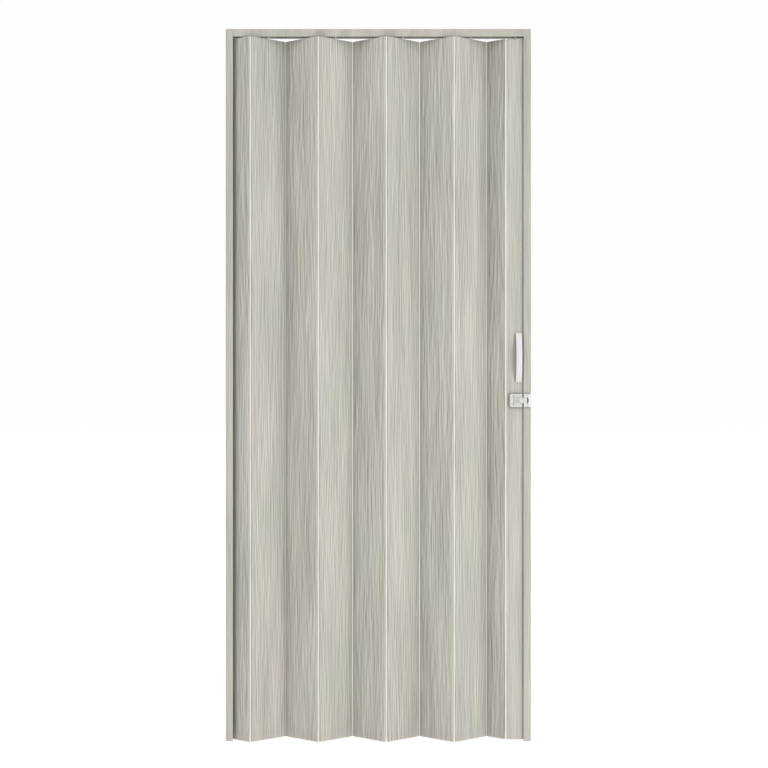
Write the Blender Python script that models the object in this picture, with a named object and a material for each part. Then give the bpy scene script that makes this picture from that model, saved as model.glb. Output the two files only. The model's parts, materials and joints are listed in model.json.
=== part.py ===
"""Folding door: a PVC accordion curtain of hollow slats, hung from a rail between two jambs.

The curtain zigzags about the middle plane of the frame. Ridges are the folds at the front (-Y)
and valleys are the folds at the back (+Y). Neighbouring slats hang on the two beads of one soft
strip, and each bead turns in the C-groove along the edge of a slat. Z is zero at the floor.
"""

import math

import bmesh
import bpy
from mathutils import Matrix, Vector

# Frame of the doorway
DOOR_WIDTH = 0.900
DOOR_HEIGHT = 2.100
FRAME_DEPTH = 0.032
FRAME_WALL = 0.002
FRAME_EDGE_RADIUS = 0.0010
FRAME_MOUTH_RADIUS = 0.0006
JAMB_FACE = 0.0213
RAIL_FACE = 0.022
RAIL_SLOT = 0.012

# Screw holes through the backs of the rail and the jambs
WALL_SCREW_RADIUS = 0.0022
WALL_SCREW_SINK_RADIUS = 0.0036
WALL_SCREW_SINK_DEPTH = 0.0014
WALL_SCREW_COUNT = 4
WALL_SCREW_END_MARGIN = 0.120
STARTER_SCREW_OFFSET = 0.0085

# Slats
SLAT_WIDTH = 0.109
SLAT_THICKNESS = 0.0072
SLAT_WALL = 0.0010
SLAT_CELL_PITCH = 0.0142
SLAT_FLOOR_GAP = 0.0030
SLAT_RAIL_GAP = 0.0052

# Soft strips, whose beads turn in the slats' grooves
BEAD_RADIUS = 0.0018
BEAD_PITCH = 0.010
STRIP_WEB = 0.0010
STRIP_STEM = 0.0012
STRIP_CAP_WIDTH = 0.0030
STRIP_CAP_EDGE = 0.0004
STRIP_CAP_CROWN = 0.0012
STRIP_CAP_ROOT = 0.0012
FIXED_MOUTH_HALF_ANGLE = 25.0

# Folding
TYPICAL_REST_ANGLE = 34.5
FOLDED_ANGLE = 85.0
FIRST_HINGE_INSET = 0.0027

# Starter profile in the left jamb
STARTER_BASE = 0.0018
STARTER_NECK = 0.0030

# Lead post, the stile that is pulled
LEAD_FACE = 0.0466
LEAD_DEPTH = 0.016
LEAD_WALL = 0.0020
LEAD_EDGE_RADIUS = 0.0018
LEAD_LIP_RADIUS = 0.0006
LEAD_GROOVE_INSET = 0.0032
LEAD_GROOVE_SINK = 0.0010
LEAD_TONGUE_WIDTH = 0.012
LEAD_TONGUE_REACH = 0.018
LEAD_RAIL_GAP = 0.0061
LEAD_FLOOR_GAP = 0.0037
CLOSING_GAP = 0.0029
PLUG_HEIGHT = 0.016

# Glide pins
GLIDE_HEAD_RADIUS = 0.0085
GLIDE_HEAD_HEIGHT = 0.0030
GLIDE_HEAD_EASE = 0.0008
GLIDE_STEM_RADIUS = 0.0025
GLIDE_COLLAR_RADIUS = 0.0034
GLIDE_COLLAR_HEIGHT = 0.0012
GLIDE_PEG_LENGTH = 0.025
GLIDE_PEG_TAPER = 0.0015

# Trolley
TROLLEY_LENGTH = 0.040
TROLLEY_WIDTH = 0.011
TROLLEY_HEIGHT = 0.011
TROLLEY_CORNER_RADIUS = 0.004
AXLE_RADIUS = 0.00125
AXLE_HEAD_RADIUS = 0.0024
AXLE_HEAD_HEIGHT = 0.0006
AXLE_SPACING = 0.026
WHEEL_RADIUS = 0.0065
WHEEL_WIDTH = 0.0045
WHEEL_HUB_RADIUS = 0.0032
WHEEL_HUB_LENGTH = 0.0018
WHEEL_EDGE = 0.0006
HANGER_RADIUS = 0.0025
HANGER_HEAD_RADIUS = 0.0042
HANGER_HEAD_HEIGHT = 0.0030
HANGER_TAIL = 0.004

# Handles
HANDLE_LENGTH = 0.147
HANDLE_FOOT_LENGTH = 0.0185
HANDLE_FOOT_WIDTH = 0.0183
HANDLE_GRIP_WIDTH = 0.0170
HANDLE_REACH = 0.020
HANDLE_GRIP_THICKNESS = 0.0045
HANDLE_END_THICKNESS = 0.0020
HANDLE_EDGE = 0.0012
HANDLE_CROWN = 0.0005
HANDLE_HEIGHT = 1.131
HANDLE_EDGE_INSET = 0.0018
HANDLE_SCREW_RADIUS = 0.0020
HANDLE_SCREW_HEAD_RADIUS = 0.0036
HANDLE_SCREW_HEAD_HEIGHT = 0.0020
HANDLE_SCREW_CROWN_RADIUS = 0.0029
HANDLE_SCREW_END_INSET = 0.0095
HANDLE_SCREW_GRIP = 0.0034
HANDLE_SCREW_SEAT = 0.0022

# Latch on the lead post, below the handle
LATCH_WIDTH = 0.0360
LATCH_LENGTH = 0.0385
LATCH_POCKET_DEPTH = 0.0050
LATCH_HANDLE_GAP = 0.03395
LATCH_EDGE_INSET = 0.0022
LATCH_CORNER_RADIUS = 0.0053
LATCH_RIM = 0.0036
LATCH_SIDE_RIM = 0.0049
LATCH_FLOOR = 0.0030
LATCH_WALL = 0.0020
LATCH_BOSS_RADIUS = 0.0040
LATCH_EDGE = 0.0007
LATCH_SQUARE_RADIUS = 0.0009
LATCH_SCREW_SPACING = 0.018
LATCH_SCREW_LENGTH = 0.0148
SLIDER_TRAVEL = 0.008
SLIDER_THICKNESS = 0.0036
SLIDER_CORNER_RADIUS = 0.0015
SLIDER_EDGE = 0.0005
BOLT_THICKNESS = 0.0020
BOLT_LENGTH = 0.0166
BOLT_HEIGHT = 0.0156
RIB_COUNT = 4
RIB_PITCH = 0.0056
RIB_LENGTH = 0.0165
RIB_WIDTH = 0.0016
RIB_HEIGHT = 0.0010
RIB_BOW = 0.0012
RIB_SLANT = 8.0

# Keeper on the right jamb
KEEPER_DEPTH = 0.0040
KEEPER_EDGE = 0.0006
KEEPER_CORNER_RADIUS = 0.0014
KEEPER_BAR_WIDTH = 0.0050
KEEPER_BAR_LENGTH = 0.0220
KEEPER_BAR_STAND = 0.0010
KEEPER_BAR_INSET = 0.0031
KEEPER_WINDOW_LENGTH = 0.0215
KEEPER_WINDOW_BOW = 0.0060
KEEPER_SCREW_SPACING = 0.0310
KEEPER_SCREW_LENGTH = 0.0098

# Small countersunk screws of the latch and the keeper
SMALL_SCREW_RADIUS = 0.0014
SMALL_SCREW_HEAD_RADIUS = 0.0027
SMALL_SCREW_HEAD_HEIGHT = 0.0014
SMALL_SCREW_POINT = 0.0012

# Gap left between pieces that touch, slide or turn on each other
CLEARANCE = 0.0003

# How far a cutter reaches past the piece that it cuts
CUT_PAST = 0.001

# Corners closer to a plane than this lie in it
IN_PLANE = 0.000001

# How deep a fused piece starts inside the one that it grows from
ROOT_DEPTH = 0.001
RIB_ROOT_DEPTH = 0.0003

# Facets
GROOVE_STEPS = 12
CORNER_STEPS = 4
EDGE_STEPS = 3
ROUND_STEPS = 16
SCREW_STEPS = 12
WHEEL_STEPS = 24
HANDLE_GRIP_STEPS = 22
HANDLE_FOOT_STEPS = 3
RIB_STEPS = 8
SMOOTH_ANGLE = 32.0

# Sizes of the frame that follow from the ones above
half_width = DOOR_WIDTH / 2
half_depth = FRAME_DEPTH / 2
rail_bottom = DOOR_HEIGHT - RAIL_FACE
rail_lip_top = rail_bottom + FRAME_WALL
slat_top = rail_bottom - SLAT_RAIL_GAP
slat_half = SLAT_THICKNESS / 2
half_slat_width = SLAT_WIDTH / 2
groove_radius = BEAD_RADIUS + CLEARANCE

# Where the curtain starts and ends
first_hinge_x = -half_width + JAMB_FACE + FIRST_HINGE_INSET
lead_face_right = half_width - JAMB_FACE - CLOSING_GAP
lead_face_left = lead_face_right - LEAD_FACE
lead_groove_x = lead_face_left + LEAD_GROOVE_INSET
last_hinge_x = lead_groove_x - BEAD_PITCH

# The span holds a whole number of fold pairs, and the rest angle makes them fill it
curtain_span = last_hinge_x - first_hinge_x
typical_pitch = SLAT_WIDTH * math.cos(math.radians(TYPICAL_REST_ANGLE)) + BEAD_PITCH
fold_pairs = max(2, round(curtain_span / (2 * typical_pitch)))
fold_pitch = curtain_span / (2 * fold_pairs)
rest_angle = math.acos((fold_pitch - BEAD_PITCH) / SLAT_WIDTH)
fold_depth = half_slat_width * math.sin(rest_angle)

# The groove's mouth lets the strip's web swing from the rest angle to the folded one
web_swing_margin = math.asin((STRIP_WEB / 2 + CLEARANCE) / groove_radius)
mouth_start = math.degrees(rest_angle - web_swing_margin)
mouth_end = FOLDED_ANGLE + math.degrees(web_swing_margin)

# The lead post's cavity, which takes the plugs, and the trolley centred over it
lead_half = LEAD_DEPTH / 2
lead_wall_left = lead_groove_x + slat_half - LEAD_GROOVE_SINK
lead_cavity_left = lead_wall_left + LEAD_WALL
lead_cavity_right = lead_face_right - LEAD_WALL
lead_top = rail_bottom - LEAD_RAIL_GAP
trolley_x = (lead_cavity_left + lead_cavity_right) / 2
axle_z = rail_lip_top + CLEARANCE + WHEEL_RADIUS
axle_bore_radius = AXLE_RADIUS + CLEARANCE
trolley_top = axle_z + TROLLEY_HEIGHT / 2

# The latch, its pocket and the sliding piece in it
latch_height = HANDLE_HEIGHT - HANDLE_LENGTH / 2 - LATCH_HANDLE_GAP - LATCH_LENGTH / 2
latch_base_y = -lead_half - CLEARANCE
latch_floor_y = -half_depth - CLEARANCE
latch_front_y = latch_floor_y - LATCH_POCKET_DEPTH
latch_right = lead_face_right - LATCH_EDGE_INSET
latch_left = latch_right - LATCH_WIDTH
pocket_left = latch_left + LATCH_RIM
pocket_right = latch_right - LATCH_RIM
pocket_half = LATCH_LENGTH / 2 - LATCH_SIDE_RIM
slider_back_y = latch_floor_y - CLEARANCE
slider_front_y = slider_back_y - SLIDER_THICKNESS
slider_right = pocket_right - CLEARANCE
slider_left = pocket_left + CLEARANCE + SLIDER_TRAVEL
bolt_tip = slider_right + BOLT_LENGTH
bolt_front_y = slider_back_y - BOLT_THICKNESS
latch_screw_x = (slider_left + slider_right) / 2
latch_screw_heights = (latch_height + LATCH_SCREW_SPACING / 2, latch_height - LATCH_SCREW_SPACING / 2)

# The keeper and the window behind its bar
keeper_back_y = -half_depth - CLEARANCE
keeper_front_y = keeper_back_y - KEEPER_DEPTH
keeper_left = half_width - JAMB_FACE + CLEARANCE
keeper_right = half_width - CLEARANCE
keeper_bar_left = keeper_left + KEEPER_BAR_INSET
keeper_window_left = keeper_bar_left + KEEPER_BAR_WIDTH
keeper_middle = (keeper_left + keeper_right) / 2

# Handles
handle_x = lead_face_right - HANDLE_EDGE_INSET - HANDLE_FOOT_WIDTH / 2
handle_base = lead_half + CLEARANCE
handle_screw_reach = HANDLE_LENGTH / 2 - HANDLE_SCREW_END_INSET
handle_screw_heights = (HANDLE_HEIGHT + handle_screw_reach, HANDLE_HEIGHT - handle_screw_reach)


def clear_scene():
    """Remove what the file opened with."""
    for item in list(bpy.data.objects):
        bpy.data.objects.remove(item, do_unlink=True)


def make_material(name, colour, roughness, metallic=0.0):
    """A Principled material with one colour."""
    material = bpy.data.materials.new(name)
    material.use_nodes = True
    shader = material.node_tree.nodes["Principled BSDF"]
    shader.inputs["Base Color"].default_value = (*colour, 1.0)
    shader.inputs["Roughness"].default_value = roughness
    shader.inputs["Metallic"].default_value = metallic
    material.diffuse_color = (*colour, 1.0)
    return material


def arc(centre, radius, start, end, steps):
    """Points on an arc, both ends included. Angles are in degrees, counterclockwise from +X."""
    points = []
    for step in range(steps + 1):
        angle = math.radians(start + (end - start) * step / steps)
        points.append((centre[0] + radius * math.cos(angle), centre[1] + radius * math.sin(angle)))
    return points


def bow_radius(half_chord, rise):
    """Radius of the arc with this half chord and this rise."""
    return (half_chord ** 2 + rise ** 2) / (2 * rise)


def rounded(corners, steps=CORNER_STEPS):
    """A polygon from (x, y, radius) corners, with an arc at each corner that has a radius."""
    points = []
    for index, (x, y, radius) in enumerate(corners):
        if radius == 0:
            points.append((x, y))
            continue
        corner = Vector((x, y))
        to_last = (Vector(corners[index - 1][:2]) - corner).normalized()
        to_next = (Vector(corners[(index + 1) % len(corners)][:2]) - corner).normalized()
        half_angle = to_last.angle(to_next) / 2
        centre = corner + (to_last + to_next).normalized() * radius / math.sin(half_angle)
        tangent_length = radius / math.tan(half_angle)
        first = corner + to_last * tangent_length - centre
        last = corner + to_next * tangent_length - centre
        start = math.degrees(math.atan2(first.y, first.x))
        turn = math.degrees(math.atan2(first.x * last.y - first.y * last.x, first.dot(last)))
        points += arc(centre, radius, start, start + turn, steps)
    return points


def rectangle(x_low, x_high, y_low, y_high, radius=0.0):
    """A rectangle, with equal corner radii."""
    return rounded([(x_low, y_low, radius), (x_high, y_low, radius),
                    (x_high, y_high, radius), (x_low, y_high, radius)])


def finish_object(name, builder, material, location=(0, 0, 0), rotation=(0, 0, 0), parent=None):
    """Turn a bmesh into a named, smooth-shaded object, and put it in place."""
    bmesh.ops.recalc_face_normals(builder, faces=builder.faces)
    mesh = bpy.data.meshes.new(name)
    builder.to_mesh(mesh)
    builder.free()
    mesh.shade_smooth()
    mesh.set_sharp_from_angle(angle=math.radians(SMOOTH_ANGLE))
    if material is not None:
        mesh.materials.append(material)
    item = bpy.data.objects.new(name, mesh)
    bpy.context.scene.collection.objects.link(item)
    item.location = location
    item.rotation_euler = rotation
    item.parent = parent
    return item


def add_loop(builder, points):
    """A closed loop through some points: returns its corners and its edges."""
    corners = [builder.verts.new(point) for point in points]
    return corners, [builder.edges.new(pair) for pair in zip(corners, corners[1:] + corners[:1])]


def extruded(outline, start, end, holes=()):
    """A section with holes, extruded. start and end turn a section point into each end's point."""
    builder = bmesh.new()
    edges = []
    for loop in (outline, *holes):
        edges += add_loop(builder, [(x, y, 0) for x, y in loop])[1]
    bmesh.ops.triangle_fill(builder, use_beauty=True, edges=edges, normal=(0, 0, 1))
    near_end = list(builder.verts)
    grown = bmesh.ops.extrude_face_region(builder, geom=list(builder.faces))
    far_end = [item for item in grown["geom"] if isinstance(item, bmesh.types.BMVert)]
    for vertex in near_end:
        vertex.co = start(vertex.co.x, vertex.co.y)
    for vertex in far_end:
        vertex.co = end(vertex.co.x, vertex.co.y)
    return builder


def prism(name, material, outline, start, end, holes=(), **placing):
    """An object from an extruded section."""
    return finish_object(name, extruded(outline, start, end, holes), material, **placing)


def face_across(builder, depth, x):
    """The face that lies in the plane at this depth and reaches past x on both sides."""
    for face in builder.faces:
        xs = [vertex.co.x for vertex in face.verts]
        in_plane = all(abs(vertex.co.y - depth) < IN_PLANE for vertex in face.verts)
        if in_plane and min(xs) < x < max(xs):
            return face


def pierce(builder, outer_y, inner_y, holes):
    """Round holes, each given by x, z and its radius, through the wall between two depths."""
    tubes = [[] for _ in holes]
    for depth in (outer_y, inner_y):
        face = face_across(builder, depth, holes[0][0])
        edges = list(face.edges)
        builder.faces.remove(face)
        for tube, (hole_x, hole_z, radius) in zip(tubes, holes):
            circle = arc((hole_x, hole_z), radius, 0, 360, SCREW_STEPS)[:-1]
            corners, rim = add_loop(builder, [(x, depth, z) for x, z in circle])
            tube.append(corners)
            edges += rim
        bmesh.ops.triangle_fill(builder, use_beauty=True, edges=edges, normal=(0, 1, 0))
    for outer, inner in tubes:
        for index in range(SCREW_STEPS):
            after = (index + 1) % SCREW_STEPS
            builder.faces.new((outer[index], outer[after], inner[after], inner[index]))


def at_height(height):
    """Places a plan section, drawn in X and Y, at one height."""
    return lambda x, y: Vector((x, y, height))


def at_depth(depth):
    """Places a front-view section, drawn in X and Z, at one depth."""
    return lambda x, z: Vector((x, depth, z))


def loft(name, material, rings, **placing):
    """Skin a row of equal rings, closed at both ends."""
    builder = bmesh.new()
    rows = [[builder.verts.new(point) for point in ring] for ring in rings]
    for lower, upper in zip(rows, rows[1:]):
        for index in range(len(lower)):
            after = (index + 1) % len(lower)
            builder.faces.new((lower[index], lower[after], upper[after], upper[index]))
    builder.faces.new(rows[0])
    builder.faces.new(rows[-1])
    return finish_object(name, builder, material, **placing)


def revolve(builder, profile, bored=False, steps=ROUND_STEPS, place=Matrix()):
    """Add (radius, height) points turned about Z to a bmesh. A bored profile is a closed loop."""
    rows = []
    for radius, height in profile:
        if radius == 0:
            rows.append([builder.verts.new(place @ Vector((0, 0, height)))] * steps)
            continue
        rows.append([builder.verts.new(place @ Vector((x, y, height)))
                     for x, y in arc((0, 0), radius, 0, 360, steps)[:-1]])
    pairs = list(zip(rows, rows[1:]))
    if bored:
        pairs.append((rows[-1], rows[0]))
    for lower, upper in pairs:
        for index in range(steps):
            after = (index + 1) % steps
            ring = (lower[index], lower[after], upper[after], upper[index])
            builder.faces.new(list(dict.fromkeys(ring)))


def turned(name, material, profile, bored=False, steps=ROUND_STEPS, **placing):
    """A turned piece about its own Z axis."""
    builder = bmesh.new()
    revolve(builder, profile, bored, steps)
    return finish_object(name, builder, material, **placing)


def combine(target, tool, operation):
    """Cut a tool out of a piece or fuse it on, and hide the tool."""
    modifier = target.modifiers.new(tool.name, "BOOLEAN")
    modifier.operation = operation
    modifier.object = tool
    tool.hide_render = True
    tool.display_type = "WIRE"


def drill(name, profile, places, targets, steps=SCREW_STEPS):
    """Cut the same turned hole at several places out of each target."""
    builder = bmesh.new()
    for place in places:
        revolve(builder, profile, steps=steps, place=place)
    cutter = finish_object(name, builder, None)
    for target in targets:
        combine(target, cutter, "DIFFERENCE")


def turned_towards(direction, x, y, z):
    """Matrix that turns local +Z towards an axis, at a point."""
    return Matrix.Translation((x, y, z)) @ Vector(direction).to_track_quat("Z", "Y").to_matrix().to_4x4()


def spaced(low, high, count):
    """Evenly spaced places from low to high."""
    return [low + (high - low) * index / (count - 1) for index in range(count)]


def attach(items, parent):
    """Parent pieces without moving them."""
    bpy.context.view_layer.update()
    for item in items:
        item.parent = parent
        item.matrix_parent_inverse = parent.matrix_world.inverted()


def build_top_rail(material):
    """C-channel with a slot underneath, mitred at its left end."""
    inner = half_depth - FRAME_WALL
    slot = RAIL_SLOT / 2
    section = rounded([
        (-half_depth, rail_bottom, FRAME_EDGE_RADIUS), (-slot, rail_bottom, 0),
        (-slot, rail_lip_top, 0), (-inner, rail_lip_top, 0),
        (-inner, DOOR_HEIGHT - FRAME_WALL, 0), (inner, DOOR_HEIGHT - FRAME_WALL, 0),
        (inner, rail_lip_top, 0), (slot, rail_lip_top, 0),
        (slot, rail_bottom, 0), (half_depth, rail_bottom, FRAME_EDGE_RADIUS),
        (half_depth, DOOR_HEIGHT, FRAME_EDGE_RADIUS), (-half_depth, DOOR_HEIGHT, FRAME_EDGE_RADIUS)])
    slope = JAMB_FACE / RAIL_FACE
    return prism("top_rail", material, section,
                 lambda y, z: Vector((-half_width + (DOOR_HEIGHT - z) * slope, y, z)),
                 lambda y, z: Vector((half_width, y, z)))


def build_jamb(name, material, side, top):
    """U-channel whose mouth faces the curtain. side is -1 at the left and 1 at the right."""
    inner = half_depth - FRAME_WALL
    section = rounded([
        (half_width, -half_depth, FRAME_EDGE_RADIUS), (half_width, half_depth, FRAME_EDGE_RADIUS),
        (half_width - JAMB_FACE, half_depth, FRAME_MOUTH_RADIUS), (half_width - JAMB_FACE, inner, 0),
        (half_width - FRAME_WALL, inner, 0), (half_width - FRAME_WALL, -inner, 0),
        (half_width - JAMB_FACE, -inner, 0), (half_width - JAMB_FACE, -half_depth, FRAME_MOUTH_RADIUS)])
    section = [(side * x, y) for x, y in section]
    return prism(name, material, section, at_height(0), top)


def build_starter_profile(material):
    """Base plate in the left jamb, with a neck and a groove for the first bead."""
    base_left = -half_width + FRAME_WALL + CLEARANCE
    base_right = base_left + STARTER_BASE
    base_half = half_depth - FRAME_WALL - CLEARANCE
    neck_half = STARTER_NECK / 2
    centre = (first_hinge_x - BEAD_PITCH, 0)
    neck_angle = 180 - math.degrees(math.asin(neck_half / slat_half))
    lip = FIXED_MOUTH_HALF_ANGLE
    section = [(base_left, -base_half), (base_right, -base_half), (base_right, -neck_half)]
    section += arc(centre, slat_half, -neck_angle, -lip, GROOVE_STEPS // 2)
    section += arc(centre, groove_radius, -lip, lip - 360, GROOVE_STEPS)
    section += arc(centre, slat_half, lip, neck_angle, GROOVE_STEPS // 2)
    section += [(base_right, neck_half), (base_right, base_half), (base_left, base_half)]
    return prism("starter_profile", material, section, at_height(SLAT_FLOOR_GAP), at_height(slat_top))


def wall_screw_hole(thickness):
    """Turned profile of a hole through this thickness, countersunk on the side of the head."""
    return [(0, -CUT_PAST), (WALL_SCREW_RADIUS, -CUT_PAST),
            (WALL_SCREW_RADIUS, thickness - WALL_SCREW_SINK_DEPTH),
            (WALL_SCREW_SINK_RADIUS, thickness), (WALL_SCREW_SINK_RADIUS, thickness + CUT_PAST),
            (0, thickness + CUT_PAST)]


def drill_wall_screw_holes(rail, left_jamb, starter, right_jamb):
    """Countersunk holes for the screws into the lintel and the two walls."""
    frame_hole = wall_screw_hole(FRAME_WALL)
    starter_hole = wall_screw_hole(FRAME_WALL + CLEARANCE + STARTER_BASE)
    heights = spaced(WALL_SCREW_END_MARGIN, rail_bottom - WALL_SCREW_END_MARGIN, WALL_SCREW_COUNT)
    across = spaced(-half_width + WALL_SCREW_END_MARGIN, half_width - WALL_SCREW_END_MARGIN,
                    WALL_SCREW_COUNT)
    drill("cut_rail_screw_holes", frame_hole,
          [turned_towards((0, 0, -1), x, 0, DOOR_HEIGHT) for x in across], [rail])
    drill("cut_right_jamb_screw_holes", frame_hole,
          [turned_towards((-1, 0, 0), half_width, 0, z) for z in heights], [right_jamb])
    drill("cut_left_jamb_screw_holes", starter_hole,
          [turned_towards((1, 0, 0), -half_width, STARTER_SCREW_OFFSET * (-1) ** index, z)
           for index, z in enumerate(heights)], [left_jamb, starter])


def slat_section(width, mouth_side):
    """Hollow slat from bead centre to bead centre, along X. mouth_side is 1 or -1 at its start.

    Both ends have a C-groove, and the section looks the same after half a turn.
    """
    lip_x = slat_half / math.tan(math.radians(180 - mouth_end))
    end = [(lip_x, slat_half)]
    end += arc((0, 0), groove_radius, 180 - mouth_end, -180 - mouth_start, GROOVE_STEPS)
    end += arc((0, 0), slat_half, 180 - mouth_start, 270, GROOVE_STEPS // 2)
    outline = end + [(width - x, -y) for x, y in end]
    first_cell = slat_half + SLAT_WALL
    cell_half = slat_half - SLAT_WALL
    span = width - 2 * first_cell
    cell_count = 2 * round((span / SLAT_CELL_PITCH - 1) / 2) + 1
    cell_pitch = (span + SLAT_WALL) / cell_count
    cells = []
    for index in range(cell_count):
        left = first_cell + index * cell_pitch
        cells.append(rectangle(left, left + cell_pitch - SLAT_WALL, -cell_half, cell_half))
    if mouth_side < 0:
        outline = [(x, -y) for x, y in reversed(outline)]
    return outline, cells


def build_slat(name, material, width, start_x, start_y, towards_back):
    """A slat whose origin is the bead at its left edge. It runs towards the back or the front."""
    outline, cells = slat_section(width, 1 if towards_back else -1)
    turn = rest_angle if towards_back else -rest_angle
    return prism(name, material, outline, at_height(SLAT_FLOOR_GAP), at_height(slat_top), cells,
                 location=(start_x, start_y, 0), rotation=(0, 0, turn))


def build_strip(name, material, start_x, start_y, cap_in_front):
    """Soft strip whose origin is its left bead: two beads, a web, and a cap over the fold.

    The cap's underside follows the slats' rounded edges, so the slats turn under it.
    """
    middle = BEAD_PITCH / 2
    web = STRIP_WEB / 2
    stem = STRIP_STEM / 2
    cap = STRIP_CAP_WIDTH / 2
    join = math.degrees(math.asin(web / BEAD_RADIUS))
    cap_clear = slat_half + CLEARANCE
    under_edge = math.sqrt(cap_clear ** 2 - (middle - cap) ** 2)
    under_start = math.degrees(math.atan2(under_edge, cap - middle))
    under_end = 180 - math.degrees(math.asin(STRIP_CAP_ROOT / cap_clear))
    crown_centre_y = under_edge + STRIP_CAP_EDGE + STRIP_CAP_CROWN - bow_radius(cap, STRIP_CAP_CROWN)
    crown_half_angle = math.degrees(math.asin(cap / bow_radius(cap, STRIP_CAP_CROWN)))
    right_half = arc((middle, 0), BEAD_RADIUS, join - 180, 180 - join, GROOVE_STEPS)
    right_half += [(stem, web)]
    under = arc((middle, 0), cap_clear, under_end, under_start, CORNER_STEPS)
    right_half += [(stem, under[0][1])] + under
    right_half += arc((0, crown_centre_y), bow_radius(cap, STRIP_CAP_CROWN),
                      90 - crown_half_angle, 90, EDGE_STEPS)
    left_half = [(-x, y) for x, y in reversed(right_half[:-1])]
    side = -1 if cap_in_front else 1
    outline = [(x + middle, side * y) for x, y in right_half + left_half]
    return prism(name, material, outline, at_height(SLAT_FLOOR_GAP), at_height(slat_top),
                 location=(start_x, start_y, 0))


def build_glide(name, material, slat):
    """Mushroom pin at the middle of a slat's top: its peg is in a cell, its head is in the rail."""
    peg_radius = slat_half - SLAT_WALL - CLEARANCE
    collar = slat_top + CLEARANCE
    head = rail_lip_top + CLEARANCE
    head_top = head + GLIDE_HEAD_HEIGHT
    eased = GLIDE_HEAD_RADIUS - GLIDE_HEAD_EASE
    profile = [(0, slat_top - GLIDE_PEG_LENGTH),
               (peg_radius - GLIDE_PEG_TAPER / 2, slat_top - GLIDE_PEG_LENGTH),
               (peg_radius, slat_top - GLIDE_PEG_LENGTH + GLIDE_PEG_TAPER),
               (peg_radius, collar), (GLIDE_COLLAR_RADIUS, collar),
               (GLIDE_COLLAR_RADIUS, collar + GLIDE_COLLAR_HEIGHT),
               (GLIDE_STEM_RADIUS, collar + GLIDE_COLLAR_HEIGHT), (GLIDE_STEM_RADIUS, head),
               (GLIDE_HEAD_RADIUS, head), (GLIDE_HEAD_RADIUS, head_top - GLIDE_HEAD_EASE),
               (eased, head_top), (0, head_top)]
    return turned(name, material, profile, location=(half_slat_width, 0, 0), parent=slat)


def build_curtain(wood, soft, nylon):
    """Slats, strips and glides, from the left jamb to the lead post."""
    build_strip("starter_strip", soft, first_hinge_x - BEAD_PITCH, 0, cap_in_front=False)
    build_slat("half_slat_left", wood, half_slat_width, first_hinge_x, 0, towards_back=False)
    strip_count = 2 * fold_pairs
    for number in range(1, strip_count + 1):
        is_ridge = number % 2 == 1
        strip_x = first_hinge_x + fold_pitch * (number - 0.5) - BEAD_PITCH / 2
        strip_y = -fold_depth if is_ridge else fold_depth
        build_strip(f"hinge_strip_{number}", soft, strip_x, strip_y, cap_in_front=is_ridge)
        if number < strip_count:
            slat = build_slat(f"slat_{number}", wood, SLAT_WIDTH, strip_x + BEAD_PITCH, strip_y, is_ridge)
            if is_ridge:
                build_glide(f"glide_{(number + 1) // 2}", nylon, slat)
        else:
            build_slat("half_slat_right", wood, half_slat_width, strip_x + BEAD_PITCH, strip_y, is_ridge)


def build_lead_post(material):
    """Hollow stile: a groove for the last bead at the left, and a tongue at the right.

    The handles' screws pass through both its faces, and the latch's screws through the front one.
    """
    centre = (lead_groove_x, 0)
    tongue = LEAD_TONGUE_WIDTH / 2
    tongue_tip = lead_face_right + LEAD_TONGUE_REACH
    join_y = math.sqrt(slat_half ** 2 - (lead_wall_left - lead_groove_x) ** 2)
    join = math.degrees(math.atan2(join_y, lead_wall_left - lead_groove_x))
    lip = 180 - FIXED_MOUTH_HALF_ANGLE
    shell_half = lead_half - LEAD_WALL
    rim, edge = LEAD_LIP_RADIUS, LEAD_EDGE_RADIUS
    outline = rounded([
        (lead_wall_left, -shell_half, 0), (lead_face_left, -shell_half, rim),
        (lead_face_left, -lead_half, rim), (lead_face_right, -lead_half, edge),
        (lead_face_right, -tongue, 0), (tongue_tip, -tongue, edge),
        (tongue_tip, tongue, edge), (lead_face_right, tongue, 0),
        (lead_face_right, lead_half, edge), (lead_face_left, lead_half, rim),
        (lead_face_left, shell_half, rim), (lead_wall_left, shell_half, 0)])
    outline += [(lead_wall_left, join_y)]
    outline += arc(centre, slat_half, join, lip, GROOVE_STEPS // 2)[1:]
    outline += arc(centre, groove_radius, lip, -lip, GROOVE_STEPS)
    outline += arc(centre, slat_half, -lip, -join, GROOVE_STEPS // 2)
    cavity_tip = tongue_tip - LEAD_WALL
    cavity_tongue = tongue - LEAD_WALL
    cavity = [(lead_cavity_left, -shell_half), (lead_cavity_right, -shell_half),
              (lead_cavity_right, -cavity_tongue), (cavity_tip, -cavity_tongue),
              (cavity_tip, cavity_tongue), (lead_cavity_right, cavity_tongue),
              (lead_cavity_right, shell_half), (lead_cavity_left, shell_half)]
    builder = extruded(outline, at_height(LEAD_FLOOR_GAP), at_height(lead_top), [cavity])
    handle_holes = [(handle_x, z, HANDLE_SCREW_RADIUS + CLEARANCE) for z in handle_screw_heights]
    latch_holes = [(latch_screw_x, z, SMALL_SCREW_RADIUS + CLEARANCE) for z in latch_screw_heights]
    pierce(builder, -lead_half, -shell_half, handle_holes + latch_holes)
    pierce(builder, lead_half, shell_half, handle_holes)
    return finish_object("lead_post", builder, material)


def build_plug(name, material, low, holes=()):
    """Block that fills the lead post's cavity at one end."""
    plug_half = lead_half - LEAD_WALL - CLEARANCE
    section = rectangle(lead_cavity_left + CLEARANCE, lead_cavity_right - CLEARANCE,
                        -plug_half, plug_half)
    return prism(name, material, section, at_height(low), at_height(low + PLUG_HEIGHT), holes)


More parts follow.
